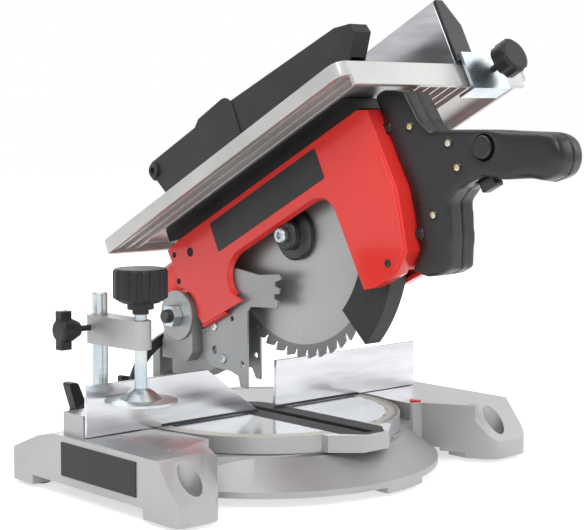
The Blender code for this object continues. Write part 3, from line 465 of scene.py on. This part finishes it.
yellowZinc = platedMetal("yellowZinc", tones["yellowZinc"], (0.70, 0.66, 0.55), 0.32)
rubber = rubberStock("rubber")
tableMetal = castMetal("tableMetal", (0.56, 0.56, 0.55), 0.40, 0.55, 900)


def turnedTop(name):
    # face-milled top: rings about the pivot, as noise of the distance from it, and a pale painted rim
    f = Finish(name, tones["milled"], 0.16, 0.92)
    x, y, z = f.xyz()
    reach = (x * x + (y - saw["fenceY"]) * (y - saw["fenceY"])) ** 0.5
    ringAt = f.node("ShaderNodeCombineXYZ", inputs={"X": reach * 60, "Y": 0.0, "Z": 0.0}, out="Vector")
    ring = f.node("ShaderNodeTexNoise", inputs={"Vector": ringAt, "Scale": 12.0, "Detail": 5.0}, out="Fac")
    top = f.upward(0.95) * (z > 0.0488)
    rim = (reach > 0.1045) * (reach < 0.1168)
    cloud = f.noise(10, 3)
    metal = f.blend(ring, (0.52, 0.54, 0.56), (0.74, 0.75, 0.76))
    side = f.blend(f.step(cloud, 0.3, 0.7), darker(tones["cast"], 0.92), tones["cast"])
    f.put("Base Color", f.blend(rim * top, f.blend(top, side, metal), (0.60, 0.58, 0.53)))
    f.put("Metallic", 0.5 + (top * 0.42) * (1 - rim) - rim * 0.45)
    f.put("Roughness", 0.42 - top * (1 - rim) * 0.27 + (ring - 0.5) * 0.14)
    f.bump(ring, 0.10, 0.0002)
    return f.material


def laminatedCore(name):
    # stacked sheets: fine bands along the motor axis
    f = Finish(name, (0.22, 0.22, 0.23), 0.45, 0.8)
    band = f.node("ShaderNodeTexWave", {"bands_direction": "X"}, {"Vector": f.place, "Scale": 320.0,
                                                               "Distortion": 0.3}, out="Fac")
    f.put("Base Color", f.blend(band, (0.13, 0.13, 0.14), (0.34, 0.34, 0.35)))
    f.put("Roughness", 0.40 + band * 0.15)
    f.bump(band, 0.3, 0.0003)
    return f.material


def bladeSteel(name):
    # ground disc: fine rings round the arbor and a darker band behind the teeth
    f = Finish(name, tones["steel"], 0.36, 0.75)
    x, y, z = f.xyz()
    hub = fromHead([0, saw["hubY"], saw["hubZ"]])
    dy, dz = y - float(hub[1]), z - float(hub[2])
    reach = (dy * dy + dz * dz) ** 0.5
    ringAt = f.node("ShaderNodeCombineXYZ", inputs={"X": reach * 90}, out="Vector")
    ring = f.node("ShaderNodeTexNoise", inputs={"Vector": ringAt, "Scale": 14.0, "Detail": 4.0}, out="Fac")
    band = f.step(reach, 0.0925, 0.0935)
    tone = f.blend(ring, (0.36, 0.36, 0.36), (0.52, 0.52, 0.52))
    f.put("Base Color", f.blend(band * 0.8, tone, (0.20, 0.20, 0.20)))
    f.put("Roughness", 0.34 + ring * 0.12 + band * 0.10)
    f.bump(ring, 0.10, 0.0002)
    return f.material


turntableMetal = turnedTop("turntableMetal")
coreMetal = laminatedCore("coreMetal")
bladeMetal = bladeSteel("bladeMetal")
print("finishes made")


# ---- CAD nodes: rounded copies where edges catch the light, plain finishes inside

soft = {
    "base_casting": (castBase, "cast_aluminium", 0.0022),
    "tilt_arm": (castArm, "cast_aluminium", 0.0012),
    "gear_case": (castPlain, "cast_aluminium", 0.0012),
    "clamp_arm": (castPlain, "cast_aluminium", 0.0014),
    "upper_table": (tableMetal, "ribbed_table", 0.0010),
    "red_cover": (redEnamel, "red_shell", 0.0014),
    "blade_housing": (redEnamel, "red_shell", 0.0010),
    "dust_port": (redPlastic, "red_plastic", 0.0008),
    "table_carrier": (blackPlastic, "black_plastic", 0.0008),
    "upper_hood": (hoodPlastic, "dark_plastic", 0.0012),
    "motor_end_cap": (blackPlastic, "black_plastic", 0.0012),
    "motor_housing": (blackPlastic, "black_plastic", 0.0008),
    "clamp_knob": (knobPlastic, "black_plastic", 0.0008),
    "rip_fence_knob": (knobPlastic, "black_plastic", 0.0012),
    "clamp_arm_knob": (knobPlastic, "black_plastic", 0.0012),
    "clamp_post_knob": (knobPlastic, "black_plastic", 0.0012),
    "bevel_lock_lever": (knobPlastic, "black_plastic", 0.0012),
    "rip_fence_cap": (blackPlastic, "black_plastic", 0.0008),
    "rip_clamp": (zinc, "zinc_steel", 0.0005),
    "pivot_nut": (zinc, "zinc_steel", 0.0006),
    "arbor_screw": (zinc, "zinc_steel", 0.0004),
    "outer_flange": (darkSteel, "dark_steel", 0.0006),
    "guard_plate_left": (plateGrey, "grey_plate", 0.0004),
    "guard_plate_right": (plateGrey, "grey_plate", 0.0004),
    "fence_left": (fenceMetal, "milled_aluminium", 0.0004),
    "fence_right": (fenceMetal, "milled_aluminium", 0.0004),
    "turntable": (turntableMetal, "milled_aluminium", 0.0010),
    "kerf_insert": (insertPlastic, "dark_plastic", 0.0006),
    "moving_guard": (hoodPlastic, "dark_plastic", 0.0008),
    "lock_off_button": (blackPlastic, "dark_plastic", 0.0008),
    "trigger": (blackPlastic, "black_plastic", 0.0010),
    "rip_fence": (fenceMetal, "milled_aluminium", 0.0005),
    "bevel_quadrant": (darkSteel, "dark_steel", 0.0004),
    "pivot_washer": (plateGrey, "grey_plate", 0.0004),
}
plainFinish = {
    steel: ["spindle", "spindle_bearing", "spindle_gear", "motor_shaft", "turntable_pivot_bolt", "tilt_pivot_bolt",
            "riving_knife"],
    zinc: ["clamp_post", "clamp_screw", "clamp_foot"],
    darkSteel: ["head_pivot_bolt", "inner_flange", "hood_bolt"],
    insertPlastic: ["table_insert", "capacity_plate"],
    rubber: ["rubber_foot_front_left", "rubber_foot_front_right", "rubber_foot_rear_left", "rubber_foot_rear_right"],
    redPlastic: ["mitre_pointer"],
    coreMetal: ["motor_rotor", "motor_stator"],
    bladeMetal: ["saw_blade"],
}
grip = {"voxel": 0.0014, "seam": 0.005, "fade": 0.006, "from": -0.392, "body": 0.20, "passes": 70}
handles = ["handle_left", "handle_right"]
for node, (material, slot, width) in soft.items():
    softened(node, material, width)
for node in handles:
    melted(node, blackPlastic)
for material, members in plainFinish.items():
    for node in members:
        paint(node, material)
missed = set(nodes) - set(soft) - set(handles) - {n for group in plainFinish.values() for n in group}
print("nodes finished, left over:", sorted(missed))


# ---- saw blade: plate with gullets and expansion slots, and a carbide tip on each tooth

toothed = {"teeth": 48, "tip": 0.1049, "gullet": 0.0972, "bore": 0.0079, "plate": 0.0008, "kerf": 0.00118,
           "slots": 4, "slotFoot": 0.0800, "slotWidth": 0.0016}
hub = fromHead([0, saw["hubY"], saw["hubZ"]])


def bladeEdge(angle):
    # distance to the blade's edge at an angle: each tooth climbs from its gullet to the tip and then drops
    phase = (angle * toothed["teeth"] / (2 * np.pi)) % 1.0
    rise = np.clip((phase - 0.16) / 0.26, 0, 1)
    deep = toothed["tip"] - toothed["gullet"]
    slope = np.clip((phase - 0.42) / 0.58, 0, 1)
    back = toothed["gullet"] + deep * (0.74 * rise * rise * (3 - 2 * rise) + 0.26 * slope)
    drop = np.clip(phase / 0.05, 0, 1)
    return np.where(phase < 0.05, toothed["tip"] + (toothed["gullet"] - toothed["tip"]) * drop, back)


def bladePlate():
    # polar grid: rows run from the arbor hole to the edge and back over the other face
    pitch = 2 * np.pi / toothed["teeth"]
    steps = np.array([0.0, 0.05, 0.11, 0.17, 0.24, 0.31, 0.38, 0.44, 0.70, 0.999])
    angle = (np.arange(toothed["teeth"])[:, None] + steps).ravel() * pitch
    half = toothed["slotWidth"] / 2 / 0.092
    middles = (np.arange(toothed["slots"]) * toothed["teeth"] // toothed["slots"] + 0.14) * pitch
    extra = (middles[:, None] + np.array([-1.001, -0.999, 0, 0.999, 1.001]) * half).ravel()
    angle = np.sort(np.concatenate([angle, extra]))
    edge = bladeEdge(angle)
    inSlot = np.min(np.abs(angle[:, None] - middles), 1) < half
    edge = np.where(inSlot, toothed["slotFoot"], edge)
    rows = []
    for side, share in ((1, 0.0), (1, 0.35), (1, 0.7), (1, 1.0), (-1, 1.0), (-1, 0.7), (-1, 0.35), (-1, 0.0)):
        reach = toothed["bore"] + (edge - toothed["bore"]) * share
        rows.append(np.stack([np.full_like(angle, side * toothed["plate"]), hub[1] + reach * np.cos(angle),
                              hub[2] + reach * np.sin(angle)], -1))
    rows.append(rows[0])
    points = np.stack(rows)
    return points.reshape(-1, 3), gridFaces(len(rows), len(angle))


def carbideTips():
    # one small block at each tip, leaning forward by the hook angle
    t = np.arange(toothed["teeth"]) * 2 * np.pi / toothed["teeth"]
    k = toothed["kerf"]
    corners = np.array([[x, r, a] for x in (-k, k) for r, a in
                        ((0.1049, 0.0), (0.1049, -0.0150), (0.0995, -0.0130), (0.0990, 0.004))])
    a = t[:, None] + corners[:, 2] + 0.004
    points = np.stack([np.broadcast_to(corners[:, 0], a.shape), hub[1] + corners[:, 1] * np.cos(a),
                       hub[2] + corners[:, 1] * np.sin(a)], -1)
    faces = np.array([[0, 1, 2, 3], [7, 6, 5, 4], [0, 4, 5, 1], [1, 5, 6, 2], [2, 6, 7, 3], [3, 7, 4, 0]])
    faces = (faces[None] + 8 * np.arange(toothed["teeth"])[:, None, None]).reshape(-1, 4)
    return points.reshape(-1, 3), faces


blade = piece("blade_plate", *bladePlate(), bladeMetal, "blade", "bright_steel", angle=20)
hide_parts("saw_blade")
carbide = brushedMetal("carbide", (0.42, 0.42, 0.43), 0.35, 0.9)
piece("carbide_tips", *carbideTips(), carbide, "blade", "bright_steel", flat=True, weld=False)
print("blade made")


# ---- red cover: lips round the window and the rear lower edge, bare sticker, raised front rim

cover = {"lipDepth": 0.0044, "lipSlant": 0.0023, "lipWall": 0.0016, "sticker": (-0.227, -0.076, 0.029, 0.056)}


def lip(path, depth, slant, wall):
    # a strip under an open path in the head's side plane, leaning across the path's normal as it goes inward
    p = np.asarray(path, float)
    along = np.gradient(p, axis=0)
    along /= np.linalg.norm(along, axis=1, keepdims=True)
    normal = np.stack([-along[:, 1], along[:, 0]], -1)
    x0 = saw["coverX"] + 0.0006
    section = [(0.0, 0.0), (depth, slant), (depth, slant - wall), (0.0, -wall)]
    points = np.stack([np.concatenate([np.full((len(p), 1), x0 + d), p + normal * n], 1) for d, n in section], 1)
    n = len(p)
    faces = gridFaces(n, 4).tolist() + [[0, 1, 2, 3], [4 * n - 1, 4 * n - 2, 4 * n - 3, 4 * n - 4]]
    return fromHead(points.reshape(-1, 3)), faces


windowEdge = [(-0.0850, -0.0205), (-0.0740, -0.0080), (-0.0760, 0.0060), (-0.0840, 0.0150), (-0.0970, 0.0200),
              (-0.2080, 0.0200), (-0.2200, 0.0150), (-0.2260, 0.0040), (-0.2270, -0.0290), (-0.2280, -0.0690)]
windowPath = roundedOutline(windowEdge, 0.006)[5:-5]
windowLip = lip(windowPath, cover["lipDepth"], cover["lipSlant"], cover["lipWall"])
piece("cover_window_lip", *windowLip, redEnamel, "head", "red_shell", bevel=0.0004)
rearEdge = [(-0.0200, -0.0190), (-0.0260, -0.0195), (-0.0550, -0.0200), (-0.0840, -0.0205)]
rearPath = roundedOutline(rearEdge, 0.004)[5:-5]
rearLip = lip(rearPath[::-1], cover["lipDepth"], -0.0017, cover["lipWall"])
piece("cover_rear_lip", *rearLip, redEnamel, "head", "red_shell", bevel=0.0004)

y0, y1, z0, z1 = cover["sticker"]
stickerOutline = roundedOutline([(y0, z0), (y1, z0), (y1, z1), (y0, z1)], 0.002)
p, f = slab(stickerOutline, saw["coverX"] - 0.00035, saw["coverX"] + 0.0002)
piece("cover_sticker", fromHead(p), f, mouldedPlastic("bareSticker", (0.022, 0.022, 0.024), 0.34, 500, 0.00008),
      "head", "dark_plastic")
frontEdge = [(-0.2400, -0.0690), (-0.2660, -0.0690), (-0.2830, -0.0595), (-0.2895, -0.0345),
             (-0.2945, -0.0130), (-0.2935, 0.0110), (-0.2925, 0.0540)]
rim = roundedOutline(frontEdge, 0.006)[5:-5]
inner = rim + np.array([0.0035, 0.0012])
p, f = slab(np.concatenate([rim, inner[::-1]]), saw["coverX"] - 0.0010, saw["coverX"] + 0.0004)
piece("cover_front_rim", fromHead(p), f, redEnamel, "head", "red_shell", bevel=0.0005)
print("cover made")


# ---- screws, their collars and the painted shade in the holes of the cover

def screwHead(centre, radius, height, recess=0.45, steps=24):
    # a button head round X, facing -X: dome, then a socket sunk into its middle
    r = radius
    profile = [(0.0001, -height * 0.35), (r * recess, -height * 0.35), (r * recess, -height), (r * 0.72, -height),
               (r * 0.93, -height * 0.72), (r, -height * 0.30), (r, 0.0004), (0.0001, 0.0004)]
    return lathe(profile, centre, "X", steps)


def headScrews(name, places, faceX, radius, height, material, slot):
    # one piece of equal screws on a side face of the head
    parts = []
    for y, z in places:
        at = fromHead([0, y, z])
        parts.append(screwHead([faceX, at[1], at[2]], radius, height))
    return piece(name, *merged(parts), material, "head", slot)


def recessRing(centre, inner, outer, depth):
    # a flat collar round a sunken screw: outer edge up on the face, inner edge below it
    profile = [(inner, depth), (inner, -0.0006), (inner + 0.0006, -0.0010), (outer - 0.0006, -0.0010),
               (outer, -0.0004), (outer, depth), (inner, depth)]
    return lathe(profile, centre, "X", 32)


handleX = -0.0100
handleBrass = [(-0.3197, 0.0289), (-0.3498, -0.0001), (-0.3498, -0.0205), (-0.3117, -0.0424)]
handleBlack = [(-0.2975, 0.0388), (-0.2925, -0.0493)]
headScrews("handle_screws", handleBrass, handleX, 0.0028, 0.0009, yellowZinc, "zinc_steel")
headScrews("handle_dark_screws", handleBlack, handleX, 0.0032, 0.0006, darkSteel, "dark_steel")
parts = [recessRing([handleX, *fromHead([0, y, z])[1:]], 0.0030, 0.0048, 0.0006)
         for y, z in handleBrass + handleBlack]
piece("handle_screw_collars", *merged(parts), blackPlastic, "head", "black_plastic")
headScrews("cover_screws", [(-0.2618, -0.0604)], saw["coverX"] - 0.0002, 0.0032,
           0.0012, darkSteel, "dark_steel")
# near-black discs flush with the cover face: painted shade standing in for the inside of the cover's holes
parts = [lathe([(0.0001, -0.0002), (r, -0.0002), (r, 0.0005), (0.0001, 0.0005)],
               [saw["coverX"], *fromHead([0, y, z])[1:]], "X", 24)
         for y, z, r in ((-0.0166, 0.0515, 0.0026), (-0.0389, 0.0448, 0.0042), (-0.0118, 0.0278, 0.0027))]
holeShadow = mouldedPlastic("holeShadow", (0.006, 0.006, 0.006), 0.7)
piece("cover_hole_shade", *merged(parts), holeShadow, "head", "dark_plastic")
parts = []
for y, z in ((0.0376, 0.0418), (0.0502, 0.0694)):
    parts.append(screwHead([-0.0155, saw["fenceY"] + y, saw["topZ"] + z], 0.0042, 0.0016))
piece("guard_plate_screws", *merged(parts), zinc, "tilt_arm", "zinc_steel")
# dark strips at the foot of the fences, over the turntable: painted shade of the gap under each fence
fenceGapShade = [(-0.112, -0.0085), (0.0115, 0.112)]
for side, (x0, x1) in zip(("left", "right"), fenceGapShade):
    p, f = slab([(-0.0012, 0.0004), (-0.0001, 0.0004), (-0.0001, 0.0022), (-0.0009, 0.0022)], x0, x1)
    piece("fence_gap_shade_" + side, fromSaw(p), f, insertPlastic, "base", "dark_plastic")
print("screws made")


# ---- upper hood: rear plate with a rounded end, and the boss round its pivot

hood = {"y": -0.013, "z": 0.137, "x": -0.0095}
frontCorner = arcPoints(0.0110, 92, 178, 8, (-0.1140, 0.0040))
foot = [(-0.1235, -0.0480), (-0.1180, -0.0525), (-0.0250, -0.0525), (-0.0150, -0.0480)]
plateOutline = np.concatenate([arcPoints(0.0095, -75, 95, 12), [(-0.070, 0.0095), (-0.078, 0.0140)],
                               frontCorner, foot])
p, f = slab(plateOutline + np.array([hood["y"], hood["z"]]), hood["x"] - 0.0016, hood["x"] + 0.0002)
piece("hood_rear_plate", fromHead(p), f, hoodPlastic, "upper_hood", "dark_plastic", bevel=0.0006)
at = fromHead([0, hood["y"], hood["z"]])
p, f = lathe([(0.0030, -0.0034), (0.0060, -0.0034), (0.0066, -0.0026), (0.0066, 0.0002), (0.0030, 0.0002),
              (0.0030, -0.0034)], [hood["x"] - 0.0014, at[1], at[2]], "X", 32)
piece("hood_boss", p, f, hoodPlastic, "upper_hood", "dark_plastic")
print("hood made")


# ---- angle scale on the turntable rim, with numbers every 15 degrees

scale = {"inner": 0.1076, "long": 0.0064, "short": 0.0036, "thick": 0.00035, "middle": -26, "reach": 45,
         "above": 0.00012, "numberSize": 0.0052, "numberFoot": 0.1037}


def angleTicks():
    # a thin bar at every degree, longer at each fifth
    a = np.arange(-scale["reach"], scale["reach"] + 1)
    t = np.radians(scale["middle"] + a)
    length = np.where(a % 5 == 0, scale["long"], scale["short"])
    half = np.where(a % 5 == 0, scale["thick"], scale["thick"] * 0.7)
    outer = scale["inner"] + scale["long"] + 0.0020
    near = outer - length
    z = saw["topZ"] + scale["above"]
    c, s = np.cos(t), np.sin(t)
    corners = [np.stack([r * c - w * s, saw["fenceY"] + r * s + w * c, np.full_like(c, z)], -1)
               for r, w in ((near, -half), (outer, -half), (outer, half), (near, half))]
    return np.stack(corners, 1).reshape(-1, 3), np.arange(4 * len(a)).reshape(-1, 4)


inkBlack = mouldedPlastic("scaleInk", (0.02, 0.02, 0.02), 0.5, 900, 0.00002)
piece("angle_ticks", *angleTicks(), inkBlack, "turntable", "dark_plastic", flat=True, weld=False)
for number in (0, 15, 30, 45):
    for side in ((1,) if number == 0 else (-1, 1)):
        curve = bpy.data.curves.new("numberShape", "FONT")
        curve.body = str(number)
        curve.size = scale["numberSize"]
        curve.align_x = "CENTER"
        ob = bpy.data.objects.new("numberShape", curve)
        bpy.context.scene.collection.objects.link(ob)
        bpy.context.view_layer.update()
        mesh = bpy.data.meshes.new_from_object(ob)
        bpy.data.objects.remove(ob)
        t = math.radians(scale["middle"] + side * number)
        flat = np.empty(len(mesh.vertices) * 3)
        mesh.vertices.foreach_get("co", flat)
        flat = flat.reshape(-1, 3)
        u, v = flat[:, 0], flat[:, 1] + scale["numberFoot"]
        # the text's up direction points outward along the radius
        x = v * math.cos(t) + u * math.sin(t)
        y = v * math.sin(t) - u * math.cos(t)
        placed = np.stack([x, saw["fenceY"] + y, np.full_like(x, saw["topZ"] + scale["above"])], -1)
        mesh.vertices.foreach_set("co", placed.ravel())
        mesh.materials.clear()
        mesh.materials.append(inkBlack)
        ob = bpy.data.objects.new(f"angle_number_{'m' if side < 0 else 'p'}{number}", mesh)
        bpy.context.scene.collection.objects.link(ob)
        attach(ob, "turntable")
print("scale made")


# ---- motor: cooling ribs round the barrel

motor = {"radius": 0.0430, "ribs": 28, "from": 0.050, "to": 0.112, "height": 0.0011}
motorAt = fromHead([0, saw["motorY"], saw["motorZ"]])


def barrelRibs():
    # a sleeve whose radius swells in narrow raised bars round the turn
    turn = np.linspace(0, 2 * np.pi, motor["ribs"] * 8, endpoint=False)
    wave = np.clip(np.cos(turn * motor["ribs"]) * 3, 0, 1)
    x = np.array([motor["from"], motor["from"] + 0.003, motor["to"] - 0.003, motor["to"]])
    lift = np.array([0.0, 1.0, 1.0, 0.0])[:, None] * motor["height"] * wave
    radius = motor["radius"] - 0.0010 + lift
    inside = np.full_like(radius[:1], motor["radius"] - 0.0020)
    radius = np.concatenate([inside, radius, inside, inside])
    x = np.concatenate([x[:1], x, x[-1:], x[:1]])[:, None] + 0 * turn
    points = np.stack([x, motorAt[1] + radius * np.cos(turn), motorAt[2] + radius * np.sin(turn)], -1)
    return points.reshape(-1, 3), gridFaces(len(points), len(turn))


piece("motor_ribs", *barrelRibs(), blackPlastic, "head", "black_plastic")
print("motor made")


# ---- floor, lamps, world and camera

studio = {"floorTone": 0.80, "whiteShare": 0.60, "worldLevel": 0.62, "floorZ": -0.0003}


def floorMaterial():
    # diffuse floor that keeps the shadow; camera, mirror and glass rays see it lifted to white
    f = Finish("paleFloor", (studio["floorTone"],) * 3, 0.9)
    paths = f.tree.nodes.new("ShaderNodeLightPath")
    seen = Signal(f.tree, paths.outputs["Is Camera Ray"])
    seen = seen.math("MAXIMUM", seen, Signal(f.tree, paths.outputs["Is Glossy Ray"]))
    seen = seen.math("MAXIMUM", seen, Signal(f.tree, paths.outputs["Is Transmission Ray"]))
    cloud = f.noise(2, 2)
    f.put("Base Color", f.blend(cloud, (studio["floorTone"] * 0.99,) * 3, (studio["floorTone"],) * 3))
    glow = f.node("ShaderNodeEmission", inputs={"Color": (1, 1, 1, 1), "Strength": seen * studio["whiteShare"]},
                  out="Emission")
    both = f.tree.nodes.new("ShaderNodeAddShader")
    f.tree.links.new(f.shader.outputs[0], both.inputs[0])
    f.tree.links.new(glow.socket, both.inputs[1])
    f.tree.links.new(both.outputs[0], f.tree.nodes["Material Output"].inputs["Surface"])
    return f.material


floorMesh = bpy.data.meshes.new("floor")
reach = 6.0
floorMesh.from_pydata([(-reach, -reach, studio["floorZ"]), (reach, -reach, studio["floorZ"]),
                       (reach, reach, studio["floorZ"]), (-reach, reach, studio["floorZ"])], [], [(0, 1, 2, 3)])
floor = bpy.data.objects.new("floor", floorMesh)
bpy.context.scene.collection.objects.link(floor)
floorMesh.materials.append(floorMaterial())

world = bpy.data.worlds.new("studioWorld")
bpy.context.scene.world = world
world.use_nodes = True
back = world.node_tree.nodes["Background"]
back.inputs["Color"].default_value = (1, 1, 1, 1)
paths = world.node_tree.nodes.new("ShaderNodeLightPath")
seen = Signal(world.node_tree, paths.outputs["Is Camera Ray"])
seen = seen.math("MAXIMUM", seen, Signal(world.node_tree, paths.outputs["Is Transmission Ray"]))
glossy = Signal(world.node_tree, paths.outputs["Is Glossy Ray"])
strength = (1 - seen) * (studio["worldLevel"] + glossy * 0.15) + seen
world.node_tree.links.new(strength.socket, back.inputs["Strength"])

lamps = {
    "keyLamp": ((-1.2, -1.1, 1.9), 1.3, 24.0),
    "fillLamp": ((1.7, -1.3, 1.2), 1.5, 12.0),
    "topLamp": ((0.1, 0.5, 2.3), 1.6, 14.0),
    "backLamp": ((0.8, 2.0, 1.3), 1.2, 9.0),
}
for name, (at, size, watts) in lamps.items():
    light = bpy.data.lights.new(name, "AREA")
    light.size = size
    light.energy = watts
    ob = bpy.data.objects.new(name, light)
    ob.location = at
    ob.rotation_euler = (Vector((0, 0, 0.15)) - Vector(at)).to_track_quat("-Z", "Y").to_euler()
    bpy.context.scene.collection.objects.link(ob)

cameraSet = {"at": (-0.8942, -0.9467, 0.3079), "pitch": -3.89, "turn": -42.01, "lens": 97.57, "shiftY": -0.0771}
lensData = bpy.data.cameras.new("camera")
lensData.lens = cameraSet["lens"]
lensData.sensor_width = 36
lensData.shift_y = cameraSet["shiftY"]
camera = bpy.data.objects.new("camera", lensData)
camera.location = cameraSet["at"]
camera.rotation_euler = (math.radians(90 + cameraSet["pitch"]), 0, math.radians(cameraSet["turn"]))
bpy.context.scene.collection.objects.link(camera)
bpy.context.scene.camera = camera
bpy.context.scene.view_settings.view_transform = "Standard"
print("stage set")
